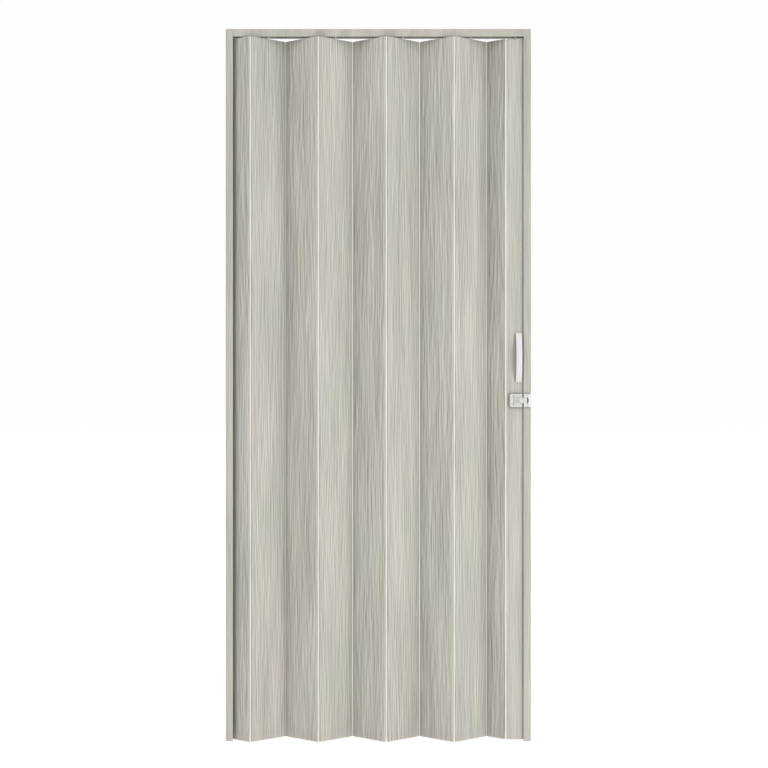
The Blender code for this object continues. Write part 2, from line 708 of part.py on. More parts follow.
def build_trolley(nylon, steel):
    """Body, hanger bolt, two axles and four wheels that run on the rail's lips."""
    half_length = TROLLEY_LENGTH / 2
    half_thickness = TROLLEY_WIDTH / 2
    axle_places = (("left", trolley_x - AXLE_SPACING / 2), ("right", trolley_x + AXLE_SPACING / 2))
    section = rectangle(trolley_x - half_length, trolley_x + half_length,
                        trolley_top - TROLLEY_HEIGHT, trolley_top, TROLLEY_CORNER_RADIUS)
    bores = [arc((x, axle_z), axle_bore_radius, 0, 360, ROUND_STEPS)[:-1] for _, x in axle_places]
    body = prism("trolley_body", nylon, section, at_depth(-half_thickness), at_depth(half_thickness), bores)
    bolt_bore = HANGER_RADIUS + CLEARANCE
    head_bore = HANGER_HEAD_RADIUS + CLEARANCE
    head_seat = trolley_top - HANGER_HEAD_HEIGHT - CLEARANCE
    bore_start = trolley_top - TROLLEY_HEIGHT - CUT_PAST
    bore_end = trolley_top + CUT_PAST
    drill("cut_hanger_bore",
          [(0, bore_start), (bolt_bore, bore_start), (bolt_bore, head_seat), (head_bore, head_seat),
           (head_bore, bore_end), (0, bore_end)],
          [Matrix.Translation((trolley_x, 0, 0))], [body])
    bolt_end = lead_top - PLUG_HEIGHT - HANGER_TAIL
    head_bottom = trolley_top - HANGER_HEAD_HEIGHT
    bolt = turned("hanger_bolt", steel,
                  [(0, bolt_end), (HANGER_RADIUS, bolt_end), (HANGER_RADIUS, head_bottom),
                   (HANGER_HEAD_RADIUS, head_bottom), (HANGER_HEAD_RADIUS, trolley_top), (0, trolley_top)],
                  location=(trolley_x, 0, 0))
    hub_start = half_thickness + CLEARANCE
    wheel_start = hub_start + WHEEL_HUB_LENGTH
    wheel_end = wheel_start + WHEEL_WIDTH
    axle_head = wheel_end + CLEARANCE
    axle_end = axle_head + AXLE_HEAD_HEIGHT
    axle_profile = [(0, -axle_end), (AXLE_HEAD_RADIUS, -axle_end), (AXLE_HEAD_RADIUS, -axle_head),
                    (AXLE_RADIUS, -axle_head), (AXLE_RADIUS, axle_head), (AXLE_HEAD_RADIUS, axle_head),
                    (AXLE_HEAD_RADIUS, axle_end), (0, axle_end)]
    wheel_profile = [(axle_bore_radius, hub_start), (WHEEL_HUB_RADIUS, hub_start),
                     (WHEEL_HUB_RADIUS, wheel_start), (WHEEL_RADIUS - WHEEL_EDGE, wheel_start),
                     (WHEEL_RADIUS, wheel_start + WHEEL_EDGE), (WHEEL_RADIUS, wheel_end - WHEEL_EDGE),
                     (WHEEL_RADIUS - WHEEL_EDGE, wheel_end), (axle_bore_radius, wheel_end)]
    pieces = [body, bolt]
    wheel_number = 0
    for side_name, x in axle_places:
        pieces.append(turned(f"trolley_axle_{side_name}", steel, axle_profile,
                             location=(x, 0, axle_z), rotation=(-math.pi / 2, 0, 0)))
        for turn in (math.pi / 2, -math.pi / 2):
            wheel_number += 1
            pieces.append(turned(f"trolley_wheel_{wheel_number}", nylon, wheel_profile, bored=True,
                                 steps=WHEEL_STEPS, location=(x, 0, axle_z), rotation=(turn, 0, 0)))
    return pieces


def build_handle(name, material, side):
    """Bow handle on one face of the lead post. side is -1 in front and 1 behind."""
    half_length = HANDLE_LENGTH / 2
    grip_half = half_length - HANDLE_FOOT_LENGTH
    outer_radius = bow_radius(half_length, HANDLE_REACH - HANDLE_END_THICKNESS)
    grip_rise = HANDLE_REACH - HANDLE_GRIP_THICKNESS
    inner_radius = bow_radius(grip_half, grip_rise)
    foot_stations = spaced(grip_half, half_length, HANDLE_FOOT_STEPS + 1)[1:]
    stations = [-z for z in reversed(foot_stations)]
    stations += spaced(-grip_half, grip_half, HANDLE_GRIP_STEPS + 1) + foot_stations
    rings = []
    for z in stations:
        outer = HANDLE_REACH - outer_radius + math.sqrt(outer_radius ** 2 - z ** 2)
        inner = 0.0
        if abs(z) < grip_half:
            inner = grip_rise - inner_radius + math.sqrt(inner_radius ** 2 - z ** 2)
        widening = (HANDLE_FOOT_WIDTH - HANDLE_GRIP_WIDTH) * (z / half_length) ** 2
        half = (HANDLE_GRIP_WIDTH + widening) / 2
        shoulder = outer - HANDLE_CROWN - HANDLE_EDGE
        outline = [(-half, inner), (half, inner)]
        outline += arc((half - HANDLE_EDGE, shoulder), HANDLE_EDGE, 0, 90, EDGE_STEPS)
        outline += [(0, outer)]
        outline += arc((HANDLE_EDGE - half, shoulder), HANDLE_EDGE, 90, 180, EDGE_STEPS)
        rings.append([(handle_x + x, side * (handle_base + height), HANDLE_HEIGHT + z)
                      for x, height in outline])
    return loft(name, material, rings)


def build_handles(plastic, steel):
    """The front and rear handles, and the two screws that clamp them through the lead post."""
    front = build_handle("front_handle", plastic, -1)
    rear = build_handle("rear_handle", plastic, 1)
    shank_hole = HANDLE_SCREW_RADIUS + CLEARANCE
    head_hole = HANDLE_SCREW_HEAD_RADIUS + CLEARANCE
    blind_end = -handle_base - HANDLE_SCREW_GRIP
    seat = handle_base + HANDLE_SCREW_SEAT
    outside = handle_base + HANDLE_REACH + CUT_PAST
    hole = [(0, blind_end - CLEARANCE), (shank_hole, blind_end - CLEARANCE), (shank_hole, seat),
            (head_hole, seat), (head_hole, outside), (0, outside)]
    drill("cut_handle_screw_holes", hole,
          [turned_towards((0, 1, 0), handle_x, 0, z) for z in handle_screw_heights], [front, rear])
    head_bottom = seat + CLEARANCE
    head_top = head_bottom + HANDLE_SCREW_HEAD_HEIGHT
    screw = [(0, blind_end), (HANDLE_SCREW_RADIUS, blind_end), (HANDLE_SCREW_RADIUS, head_bottom),
             (HANDLE_SCREW_HEAD_RADIUS, head_bottom),
             (HANDLE_SCREW_HEAD_RADIUS, head_top - HANDLE_SCREW_HEAD_HEIGHT / 2),
             (HANDLE_SCREW_CROWN_RADIUS, head_top), (0, head_top)]
    screws = [turned(f"handle_screw_{word}", steel, screw, steps=SCREW_STEPS,
                     location=(handle_x, 0, z), rotation=(-math.pi / 2, 0, 0))
              for word, z in zip(("upper", "lower"), handle_screw_heights)]
    return [front, rear, *screws]


def eased_plate(name, material, x_range, z_range, y_range, radii, edge):
    """A plate from its back to its front in Y, with a rounded front edge.

    radii are the corner radii at its left and at its right, seen from the front.
    """
    back, front = y_range

    def ring(inset, depth):
        x_low, x_high = x_range[0] + inset, x_range[1] - inset
        z_low, z_high = z_range[0] + inset, z_range[1] - inset
        left, right = radii[0] - inset, radii[1] - inset
        outline = rounded([(x_low, z_low, left), (x_high, z_low, right),
                           (x_high, z_high, right), (x_low, z_high, left)])
        return [(x, depth, z) for x, z in outline]

    rings = [ring(0, back)]
    for along, up in arc((0, 0), edge, 0, 90, EDGE_STEPS):
        rings.append(ring(edge - along, front + edge - up))
    return loft(name, material, rings)


def countersunk(length):
    """A small screw and its hole, as turned profiles whose heights run out of the surface."""
    head_bottom = -SMALL_SCREW_HEAD_HEIGHT
    point_start = SMALL_SCREW_POINT - length
    screw = [(0, -length), (SMALL_SCREW_RADIUS / 2, -length),
             (SMALL_SCREW_RADIUS, point_start), (SMALL_SCREW_RADIUS, head_bottom),
             (SMALL_SCREW_HEAD_RADIUS, 0), (0, 0)]
    hole_radius = SMALL_SCREW_RADIUS + CLEARANCE
    sink_radius = SMALL_SCREW_HEAD_RADIUS + CLEARANCE
    hole = [(0, -length), (hole_radius, -length),
            (hole_radius, head_bottom - CLEARANCE), (sink_radius, -CLEARANCE),
            (sink_radius, CUT_PAST), (0, CUT_PAST)]
    return screw, hole


def fit_small_screws(prefix, material, length, places, targets):
    """Countersunk screws driven in from the front, and their holes in what they hold."""
    screw, hole = countersunk(length)
    drill(f"cut_{prefix}_screw_holes", hole,
          [turned_towards((0, -1, 0), *place) for place in places], targets)
    return [turned(f"{prefix}_screw_{word}", material, screw, steps=SCREW_STEPS, location=place,
                   rotation=(math.pi / 2, 0, 0))
            for word, place in zip(("upper", "lower"), places)]


def build_latch_housing(material):
    """Shell open at the back, with a pocket for the slider that is open at the right for the bolt."""
    housing = eased_plate("latch_housing", material, (latch_left, latch_right),
                          (latch_height - LATCH_LENGTH / 2, latch_height + LATCH_LENGTH / 2),
                          (latch_base_y, latch_front_y), (LATCH_CORNER_RADIUS, LATCH_SQUARE_RADIUS),
                          LATCH_EDGE)
    pocket = prism("cut_latch_pocket", None,
                   rectangle(pocket_left, pocket_right, latch_height - pocket_half,
                             latch_height + pocket_half, SLIDER_CORNER_RADIUS),
                   at_depth(latch_floor_y), at_depth(latch_front_y - CUT_PAST))
    bolt_way = BOLT_HEIGHT / 2 + CLEARANCE
    notch = prism("cut_latch_notch", None,
                  rectangle(pocket_right - CUT_PAST, latch_right + CUT_PAST,
                            latch_height - bolt_way, latch_height + bolt_way),
                  at_depth(latch_floor_y), at_depth(latch_front_y - CUT_PAST))
    bosses = [arc((latch_screw_x, z), LATCH_BOSS_RADIUS, 0, 360, SCREW_STEPS)[:-1]
              for z in latch_screw_heights]
    hollow = prism("cut_latch_hollow", None,
                   rectangle(latch_left + LATCH_WALL, latch_right - LATCH_WALL,
                             latch_height - LATCH_LENGTH / 2 + LATCH_WALL,
                             latch_height + LATCH_LENGTH / 2 - LATCH_WALL,
                             LATCH_CORNER_RADIUS - LATCH_WALL),
                   at_depth(latch_base_y + CUT_PAST), at_depth(latch_floor_y + LATCH_FLOOR), bosses)
    for cutter in (pocket, notch, hollow):
        combine(housing, cutter, "DIFFERENCE")
    return housing


def rib_rings(middle_x, middle_z, base_y):
    """Rings of one bowed, slanted grip rib that stands on the slider's face."""
    slant = math.radians(RIB_SLANT)
    half_length = RIB_LENGTH / 2
    foot, crest = RIB_WIDTH / 2, RIB_WIDTH / 4
    rings = []
    for along in spaced(-half_length, half_length, RIB_STEPS + 1):
        bow = RIB_BOW * (1 - (along / half_length) ** 2)
        x = middle_x + along * math.cos(slant) - bow * math.sin(slant)
        z = middle_z + along * math.sin(slant) + bow * math.cos(slant)
        rings.append([(x, base_y + RIB_ROOT_DEPTH, z - foot), (x, base_y + RIB_ROOT_DEPTH, z + foot),
                      (x, base_y - RIB_HEIGHT, z + crest), (x, base_y - RIB_HEIGHT, z - crest)])
    return rings


def build_latch_slider(material):
    """Thumb piece with slanted ribs, and the bolt that it pushes across the gap."""
    height_half = pocket_half - CLEARANCE
    slider = eased_plate("latch_slider", material, (slider_left, slider_right),
                         (latch_height - height_half, latch_height + height_half),
                         (slider_back_y, slider_front_y), (SLIDER_CORNER_RADIUS, SLIDER_CORNER_RADIUS),
                         SLIDER_EDGE)
    bolt_half = BOLT_HEIGHT / 2
    bolt_root = slider_right - SLIDER_CORNER_RADIUS - ROOT_DEPTH
    bolt_low, bolt_high = latch_height - bolt_half, latch_height + bolt_half
    bolt = prism("add_bolt", None,
                 rounded([(bolt_root, bolt_low, 0), (bolt_tip, bolt_low, SLIDER_CORNER_RADIUS),
                          (bolt_tip, bolt_high, SLIDER_CORNER_RADIUS), (bolt_root, bolt_high, 0)]),
                 at_depth(slider_back_y), at_depth(bolt_front_y))
    combine(slider, bolt, "UNION")
    span = RIB_PITCH * (RIB_COUNT - 1)
    for index, z in enumerate(spaced(latch_height - span / 2, latch_height + span / 2, RIB_COUNT)):
        rib = loft(f"add_rib_{index + 1}", None, rib_rings(latch_screw_x, z, slider_front_y))
        combine(slider, rib, "UNION")
    return slider


def build_latch(plastic, steel):
    """The housing, the slider and the two screws that hold the housing under the slider."""
    housing = build_latch_housing(plastic)
    slider = build_latch_slider(plastic)
    places = [(latch_screw_x, latch_floor_y, z) for z in latch_screw_heights]
    screws = fit_small_screws("latch", steel, LATCH_SCREW_LENGTH, places, [housing])
    return [housing, slider, *screws]


def build_keeper(plastic, steel, right_jamb):
    """Plate on the right jamb: the bolt slides in behind its bar, beside a bowed window."""
    keeper_low, keeper_high = latch_height - LATCH_LENGTH / 2, latch_height + LATCH_LENGTH / 2
    keeper = eased_plate("keeper", plastic, (keeper_left, keeper_right), (keeper_low, keeper_high),
                         (keeper_back_y, keeper_front_y), (KEEPER_CORNER_RADIUS, KEEPER_CORNER_RADIUS),
                         KEEPER_EDGE)
    bar_half = KEEPER_BAR_LENGTH / 2
    bar_radius = KEEPER_BAR_WIDTH / 4
    bar = eased_plate("add_keeper_bar", None, (keeper_bar_left, keeper_window_left),
                      (latch_height - bar_half, latch_height + bar_half),
                      (keeper_front_y + ROOT_DEPTH, keeper_front_y - KEEPER_BAR_STAND),
                      (bar_radius, bar_radius), KEEPER_EDGE)
    combine(keeper, bar, "UNION")
    window_half = KEEPER_WINDOW_LENGTH / 2
    radius = bow_radius(window_half, KEEPER_WINDOW_BOW)
    half_angle = math.degrees(math.asin(window_half / radius))
    centre = (keeper_window_left + KEEPER_WINDOW_BOW - radius, latch_height)
    window = prism("cut_keeper_window", None, arc(centre, radius, -half_angle, half_angle, GROOVE_STEPS),
                   at_depth(keeper_back_y + CUT_PAST),
                   at_depth(keeper_front_y - KEEPER_BAR_STAND - CUT_PAST))
    combine(keeper, window, "DIFFERENCE")
    bolt_way = BOLT_HEIGHT / 2 + CLEARANCE
    tunnel = prism("cut_keeper_tunnel", None,
                   rectangle(keeper_left - CUT_PAST, keeper_window_left + CUT_PAST,
                             latch_height - bolt_way, latch_height + bolt_way),
                   at_depth(keeper_back_y + CUT_PAST), at_depth(bolt_front_y - CLEARANCE))
    combine(keeper, tunnel, "DIFFERENCE")
    places = [(keeper_middle, keeper_front_y, latch_height + KEEPER_SCREW_SPACING / 2),
              (keeper_middle, keeper_front_y, latch_height - KEEPER_SCREW_SPACING / 2)]
    fit_small_screws("keeper", steel, KEEPER_SCREW_LENGTH, places, [keeper, right_jamb])


def build_frame(wood):
    """The rail, the two jambs and the starter profile, with their wall screw holes."""
    slope = RAIL_FACE / JAMB_FACE
    mitre_gap = CLEARANCE * math.hypot(1, slope)
    rail = build_top_rail(wood)
    left_jamb = build_jamb("left_jamb", wood, -1, lambda x, y: Vector(
        (x, y, DOOR_HEIGHT - (x + half_width) * slope - mitre_gap)))
    right_jamb = build_jamb("right_jamb", wood, 1, at_height(rail_bottom - CLEARANCE))
    starter = build_starter_profile(wood)
    drill_wall_screw_holes(rail, left_jamb, starter, right_jamb)
    return right_jamb


def build_lead(wood, soft, plug_plastic, nylon, steel, fittings):
    """The lead post and all that rides on it, held by an empty on its hinge axis."""
    post = build_lead_post(wood)
    strip = build_strip("lead_strip", soft, last_hinge_x, 0, cap_in_front=True)
    hanger_bore = arc((trolley_x, 0), HANGER_RADIUS + CLEARANCE, 0, 360, ROUND_STEPS)[:-1]
    top_plug = build_plug("lead_post_top_plug", plug_plastic, lead_top - PLUG_HEIGHT, [hanger_bore])
    bottom_plug = build_plug("lead_post_bottom_plug", plug_plastic, LEAD_FLOOR_GAP)
    pieces = [post, strip, top_plug, bottom_plug]
    pieces += build_trolley(nylon, steel)
    pieces += build_handles(fittings, steel)
    pieces += build_latch(fittings, steel)
    axis = bpy.data.objects.new("lead_hinge_axis", None)
    bpy.context.scene.collection.objects.link(axis)
    axis.location = (last_hinge_x, 0, 0)
    attach(pieces, axis)


def main():
    clear_scene()
    wood = make_material("grey_wood_pvc", (0.56, 0.54, 0.48), 0.45)
    soft = make_material("soft_pale_pvc", (0.78, 0.75, 0.69), 0.5)
    plug_plastic = make_material("grey_plastic", (0.35, 0.35, 0.34), 0.5)
    nylon = make_material("white_nylon", (0.80, 0.80, 0.77), 0.4)
    fittings = make_material("white_plastic", (0.80, 0.79, 0.78), 0.3)
    steel = make_material("zinc_plated_steel", (0.62, 0.62, 0.64), 0.35, 1.0)
    right_jamb = build_frame(wood)
    build_curtain(wood, soft, nylon)
    build_lead(wood, soft, plug_plastic, nylon, steel, fittings)
    build_keeper(fittings, steel, right_jamb)


main()
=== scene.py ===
"""Looks of the folding door: PVC with a printed wood grain, pale soft strips and white fittings."""

import json
import math

import bmesh
import bpy
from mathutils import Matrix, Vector


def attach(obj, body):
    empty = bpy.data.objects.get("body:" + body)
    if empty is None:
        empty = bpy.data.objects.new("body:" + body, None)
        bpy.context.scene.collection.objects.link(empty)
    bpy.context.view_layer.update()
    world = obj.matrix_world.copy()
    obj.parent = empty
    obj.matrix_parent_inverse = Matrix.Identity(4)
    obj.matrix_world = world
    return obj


# Camera: level, at half the door's height, straight in front of it
CAMERA_PLACE = (0.0, -4.016, 1.05)
CAMERA_LENS = 63.6
CAMERA_SENSOR = 36.0
CAMERA_SHIFT_X = 0.0074
CAMERA_SHIFT_Y = 0.0013
CAMERA_REACH = 200.0

# World: its colour, its strength as a light, and its strength for the camera and in gloss
WHITE = (1.0, 1.0, 1.0, 1.0)
AMBIENT_STRENGTH = 0.78
BACKDROP_STRENGTH = 0.99

# Square lamps: place, target, side and power
LAMPS = {
    "key": ((2.9, -4.1, 0.7), (0.0, 0.0, 0.9), 1.4, 59.0),
    "back_fill": ((-1.8, 3.4, 1.6), (0.0, 0.0, 1.0), 2.0, 24.0)}

# Floor: half its side, its colour as light meets it, and the colour and glow that the camera sees
FLOOR_HALF = 30.0
FLOOR_COLOUR = (0.80, 0.80, 0.80, 1.0)
FLOOR_SEEN_COLOUR = (0.35, 0.35, 0.35, 1.0)
FLOOR_SEEN_GLOW = 0.86

# Surfaces smoother than this angle are shaded round, once points this close are welded
SMOOTH_ANGLE = 32.0
WELD_DISTANCE = 1e-6

# Samples of the nodes that look round a point for openness and for rounded edges
OPENNESS_SAMPLES = 8
BEVEL_SAMPLES = 4

# Sockets of a Mix node that mixes colours
MIX_FACTOR = 0
MIX_FIRST = 6
MIX_SECOND = 7
MIX_RESULT = 2

# Middle of a noise's colour, where it neither adds nor takes away
NOISE_MIDDLE = (0.5, 0.5, 0.5)

# Soft edge of marks that are drawn by their place on the door
MARK_EDGE = 0.0005

# Scales in all that follows are per metre along X, Y and Z. A range is the stretch of a noise that is
# used. A bump is its strength and depth, and a shade is its reach and depth.

# Printed wood: how its grain sways
SWAY_SCALE = (4.0, 4.0, 3.0)
SWAY_REACH = (0.004, 0.004, 0.0)

# Printed wood: its tints, and the noises that choose among them
PLAIN = (0.560, 0.538, 0.474)
GREENISH = (0.548, 0.542, 0.468)
PINKISH = (0.570, 0.533, 0.481)
BLUISH = (0.552, 0.540, 0.494)
PATCH_SCALE = (9.0, 9.0, 2.6)
GREEN_RANGE = (0.34, 0.50)
PINK_RANGE = (0.52, 0.70)
COOL_SCALE = (12.0, 12.0, 3.0)
COOL_OFFSET = 4.7
COOL_RANGE = (0.56, 0.74)

# Printed wood: broad bands and short pores
BAND_SCALE = (30.0, 30.0, 2.6)
BAND_OFFSET = 1.3
BAND_RANGE = (0.28, 0.72)
BAND_DEPTH = 0.12
PORE_SCALE = (420.0, 420.0, 24.0)
PORE_OFFSET = 3.3
PORE_RANGE = (0.60, 0.76)
PORE_DEPTH = 0.08

# Printed wood: fine lines, with scales across, along and in depth, the depth read, and their spacing
LINE_SCALE = (330.0, 10.0, 1.0)
LINE_DEPTH = 0.3
LINE_SPACING = 0.0030

# Ways in which lines are counted on faces that look forward and sideways, and what counts as sideways
FRONT_WAY = (1.0, 0.25, 0.0)
SIDEWAYS_WAY = (0.25, 1.0, 0.0)
SIDEWAYS_FROM = 0.85

# Painted light and shade: the print is painted paler at the foot than at the top by twice this share,
# and painted paler still just above the floor
TOP_Z = 2.1
PAINTED_HEIGHT_SHADE = 0.018
FOOT_Z = 0.050
PAINTED_FOOT_LIGHT = 0.050

# Printed wood: roughness over the fine lines, and relief of the lines and pores
LINE_RANGE = (-0.2, 0.2)
WOOD_ROUGHNESS = (0.52, 0.42)
PORE_RELIEF_RANGE = (0.58, 0.75)
PORE_RELIEF = -1.0
WOOD_BUMP = (0.20, 0.0003)

# Bare PVC at sawn ends, which are the faces that look along the cut axis by more than this
CORE_DARK = (0.60, 0.585, 0.545)
CORE_LIGHT = (0.70, 0.685, 0.645)
CORE_SCALE = (900.0, 900.0, 900.0)
CORE_RANGE = (0.3, 0.7)
CUT_FROM = 0.6

# Pale edges, partly wear and partly painted highlight: colour and radius, how alike the rounded and the
# true normal are where the pale edge starts and is full, and the openness where it starts and is full,
# with its strength there
PALE_EDGE = (0.80, 0.78, 0.71)
PALE_EDGE_RADIUS = 0.0012
PALE_EDGE_ALIKE = (0.985, 0.86)
PALE_EDGE_OPENNESS = (0.80, 0.93)
PALE_EDGE_STRENGTH = 0.75

# How far the wood's shade reaches out of a corner
SHADE_REACH = 0.045

# Mitre of the left jamb and the rail: where X + Z is minus the sum, over this stretch of X. Its pale
# line starts and is full at these distances
MITRE_SUM = -1.65
MITRE_LEFT = -0.4505
MITRE_RIGHT = -0.4290
MITRE_LINE = (0.0026, 0.0014)
MITRE_STRENGTH = 0.45

# Heights between which the handles, the latch and the keeper touch the wood, and how far from the
# door's middle plane the outer faces of the post and the jamb are that they sit on
FITTINGS_LOW = 0.975
FITTINGS_HIGH = 1.215
FITTINGS_EDGE = 0.004
POST_FACE_Y = 0.008
JAMB_FACE_Y = 0.016

# Painted shade round the fittings, soft and close, and how far under the face it starts and is full
FITTINGS_SHADE = (SHADE_REACH, 0.35)
CONTACT_SHADE = (0.007, 0.90)
FACE_START = 0.0010
FACE_FULL = 0.0004

# Where the lead post's tongue starts, and how much paler it is painted, as painted light
TONGUE_X = 0.4245
TONGUE_PAINTED_LIGHT = 1.20

# Soft strips: draw lines, clouds and shade
SOFT_LINE_SCALE = (900.0, 900.0, 14.0)
SOFT_LINE_RANGE = (0.3, 0.7)
SOFT_ROUGHNESS = (0.36, 0.50)
SOFT_BUMP = (0.15, 0.0002)
SOFT_CLOUD_SCALE = (30.0, 30.0, 9.0)
SOFT_CLOUD_RANGE = (0.35, 0.68)
SOFT_SHADE = (0.030, 0.12)
SOFT_SUBSURFACE = 0.08
SOFT_SUBSURFACE_RADIUS = (0.0012, 0.0010, 0.0008)

# Soft strips: the first fold line, the distance between fold lines, and half the width of a strip's
# unshaded middle, with painted shade beside it
FOLD_X = -0.3761
FOLD_PITCH = 0.0998
UNSHADED_HALF = 0.0014
WEB_PAINTED_SHADE = (0.50, 0.48, 0.42)

# Moulded plastic: flow clouds, spark texture, handling marks and shade
FLOW_SCALE = (70.0, 70.0, 40.0)
FLOW_RANGE = (0.34, 0.68)
SPARK_SCALE = (1400.0, 1400.0, 1400.0)
SPARK_BUMP = (0.08, 0.0001)
HANDLING_SCALE = (180.0, 180.0, 60.0)
HANDLING_RANGE = (0.50, 0.72)
HANDLING_ROUGHNESS = 0.12
MOULDED_SHADE = (0.003, 0.40)
MOULDED_SUBSURFACE_RADIUS = (0.0015, 0.0013, 0.0011)

# Handle's middle height, how far from it its warmer ends start and over what length, and their colour
HANDLE_MIDDLE = 1.131
HANDLE_END = 0.048
HANDLE_FADE = 0.006
WARM_WHITE = (0.89, 0.86, 0.83)

# Ribs of the thumb piece: their middle, half length, pitch, slope, bow and spread in height
RIB_MIDDLE_X = 0.4096
RIB_MIDDLE_Z = 1.0043
RIB_HALF = 0.0082
RIB_PITCH = 0.0056
RIB_SLOPE = 0.1405
RIB_BOW = 0.0012
RIB_SPREAD = 0.0072

# Painted shade in the grooves between the ribs: its colour, the shares of the pitch where it is full
# and ends, and the soft edges at the ribs' ends and above and below them
RIB_GROOVE_PAINTED_SHADE = (0.50, 0.49, 0.46)
GROOVE_SHADE_FULL = 0.12
GROOVE_SHADE_END = 0.30
RIB_END_EDGE = 0.0006
RIB_LEVEL_EDGE = 0.0004

# Zinc plating: cool and yellowish clouds, and turning marks
ZINC_COOL = (0.60, 0.61, 0.64)
ZINC_YELLOWISH = (0.68, 0.66, 0.58)
ZINC_SCALE = (260.0, 260.0, 260.0)
ZINC_RANGE = (0.35, 0.65)
TURNING_SCALE = (1500.0, 300.0, 2600.0)
TURNING_RANGE = (0.3, 0.7)
TURNING_BUMP = (0.12, 0.0001)
STEEL_ROUGHNESS = (0.24, 0.42)

# Hanger bolt's thread
THREAD_PITCH = 0.00125
THREAD_BUMP = (0.8, 0.0004)

# Cross recess in a screw head: half its span, half its arm's width, its depth, its floor's share, and
# how far above the head the cutter starts
RECESS_SPAN = 0.0017
RECESS_ARM = 0.0004
RECESS_DEPTH = 0.0009
RECESS_FLOOR = 0.55
RECESS_ABOVE = 0.0004

# Printed profiles: the print's lightness, the share of it that painted shade takes in a fully closed
# corner, the openness below which no more is taken, the fine lines' contrast, and the face that fittings
# sit on, round which painted shade runs
WOODS = {
    "grey_wood_upright": {"lightness": 1.05, "shade": 0.62, "least_open": 0.45},
    # The last slat is painted darker than the others, as painted shade beside the post
    "grey_wood_last_slat_painted_shade": {"lightness": 0.95, "shade": 0.62, "least_open": 0.45},
    "grey_wood_post": {
        "lightness": 1.10, "shade": 0.20, "least_open": 0.35, "contrast": 0.50,
        "fittings_y": POST_FACE_Y, "has_painted_light_tongue": True},
    "grey_wood_jamb": {"lightness": 1.04, "shade": 0.56, "contrast": 0.45},
    # The starter is painted darker than the jamb, as painted shade in the jamb's channel
    "grey_wood_starter_painted_shade": {"lightness": 0.80, "shade": 0.56, "contrast": 0.45},
    "grey_wood_closing_jamb": {
        "lightness": 1.02, "shade": 0.20, "least_open": 0.35, "contrast": 0.55,
        "fittings_y": JAMB_FACE_Y},
    "grey_wood_level": {"lightness": 1.04, "shade": 0.56, "contrast": 0.30, "cut_axis": "X"}}

# Soft strips: the two colours of their clouds, and their glow, which is painted light
SOFTS = {
    "soft_pale_pvc": {"low": (0.93, 0.91, 0.85), "high": (0.96, 0.94, 0.89), "glow": 0.22},
    "soft_lead_pvc_painted_glow": {
        "low": (0.93, 0.91, 0.85), "high": (0.96, 0.94, 0.89), "glow": 0.50, "has_painted_side_shade": False},
    # Copies painted darker, as painted shade, for strips that stand in the valleys and in deep shade
    "soft_valley_pvc_painted_shade": {"low": (0.90, 0.88, 0.81), "high": (0.93, 0.91, 0.85), "glow": 0.01},
    "soft_pvc_painted_shade": {"low": (0.72, 0.70, 0.63), "high": (0.76, 0.74, 0.67), "glow": 0.0},
    "soft_pvc_painted_deep_shade": {"low": (0.56, 0.54, 0.48), "high": (0.62, 0.60, 0.53), "glow": 0.0}}

# Moulded pieces: the two colours of their clouds, and what sets each apart
MOULDED = {
    "white_plastic": {"low": (0.86, 0.825, 0.85), "high": (0.89, 0.845, 0.89), "has_warm_ends": True},
    "latch_plastic": {"low": (0.81, 0.79, 0.76), "high": (0.85, 0.83, 0.79)},
    "slider_plastic": {"low": (0.77, 0.76, 0.73), "high": (0.80, 0.79, 0.76), "has_painted_groove_shade": True},
    "keeper_plastic": {"low": (0.84, 0.85, 0.81), "high": (0.87, 0.88, 0.84)},
    "grey_plastic": {"low": (0.32, 0.32, 0.31), "high": (0.37, 0.37, 0.36), "roughness": 0.45},
    "white_nylon": {
        "low": (0.76, 0.76, 0.71), "high": (0.82, 0.82, 0.78), "roughness": 0.38, "subsurface": 0.1}}

# Steel pieces
STEELS = {
    "zinc_plated_steel": {},
    "threaded_steel": {"has_thread": True}}

# A piece wears the material of its slot's name, unless its slot or the piece itself is listed here
SLOT_MATERIALS = {"grey_wood_pvc": "grey_wood_upright"}
OWN_MATERIALS = {
    "top_rail": "grey_wood_level",
    "left_jamb": "grey_wood_jamb",
    "right_jamb": "grey_wood_closing_jamb",
    "starter_profile": "grey_wood_starter_painted_shade",
    "half_slat_right": "grey_wood_last_slat_painted_shade",
    "lead_post": "grey_wood_post",
    "lead_strip": "soft_lead_pvc_painted_glow",
    "starter_strip": "soft_pvc_painted_deep_shade",
    "hinge_strip_2": "soft_pvc_painted_deep_shade",
    "hinge_strip_4": "soft_valley_pvc_painted_shade",
    "hinge_strip_6": "soft_valley_pvc_painted_shade",
    "hinge_strip_8": "soft_pvc_painted_shade",
    "hanger_bolt": "threaded_steel",
    "latch_housing": "latch_plastic",
    "latch_slider": "slider_plastic",
    "keeper": "keeper_plastic"}

# Screws with a cross recess: the way along Y into the head, and the body that carries the screw
CROSS_SCREWS = {
    "keeper_screw_upper": (1, "frame"),
    "keeper_screw_lower": (1, "frame"),
    "handle_screw_upper": (-1, "lead"),
    "handle_screw_lower": (-1, "lead")}


def new_material(name):
    """A Principled material: returns it with its node tree and shader."""
    material = bpy.data.materials.new(name)
    material.use_nodes = True
    return material, material.node_tree, material.node_tree.nodes["Principled BSDF"]


def plug(tree, socket, value):
    """Link another socket to an input, or set the input's value."""
    if isinstance(value, bpy.types.NodeSocket):
        tree.links.new(value, socket)
    else:
        socket.default_value = value


def add(tree, kind, settings=None, **inputs):
    """Add a node, set its properties, and set or link its inputs by name."""
    node = tree.nodes.new(kind)
    for key, value in (settings or {}).items():
        setattr(node, key, value)
    for key, value in inputs.items():
        plug(tree, node.inputs[key.replace("_", " ")], value)
    return node


